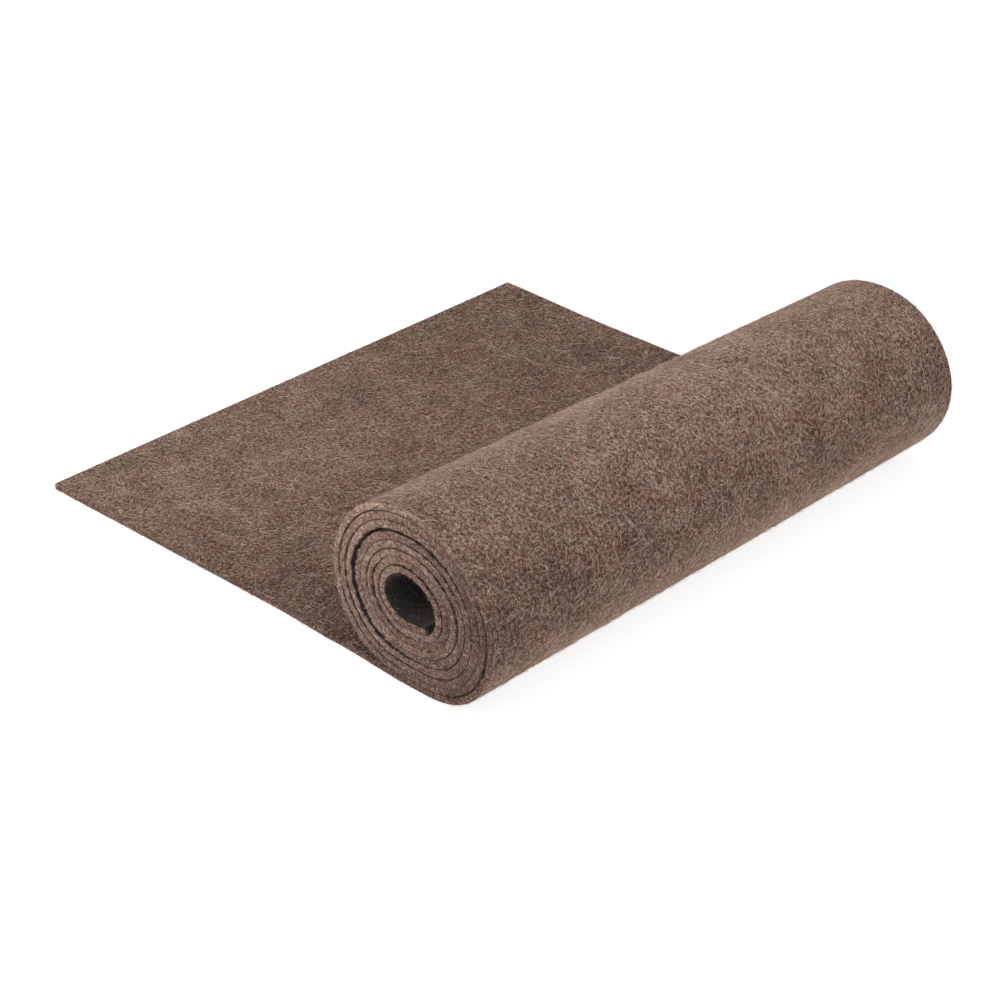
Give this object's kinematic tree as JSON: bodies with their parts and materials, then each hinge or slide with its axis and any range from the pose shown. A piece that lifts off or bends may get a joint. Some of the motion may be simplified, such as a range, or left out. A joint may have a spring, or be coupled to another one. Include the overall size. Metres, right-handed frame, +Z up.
{
  "type": "roll of felt",
  "caption": "Length of thick brown wool felt wound into a hollow roll, with its loose end lying flat on the surface beside it.",
  "frame": {"origin": "on the surface that the felt lies on, under the middle of its box", "axes": "+Y along the roll, away from the end whose turns show; +X from the flat cut end towards the roll; +Z up"},
  "size_m": [0.2844, 0.3044, 0.0824],
  "materials": {
    "felt": "matt mottled brown felt with short pale hairs and a soft fuzzy surface"
  },
  "bodies": {
    "root": {"felt_sheet": "felt"}
  },
  "joints": []
}
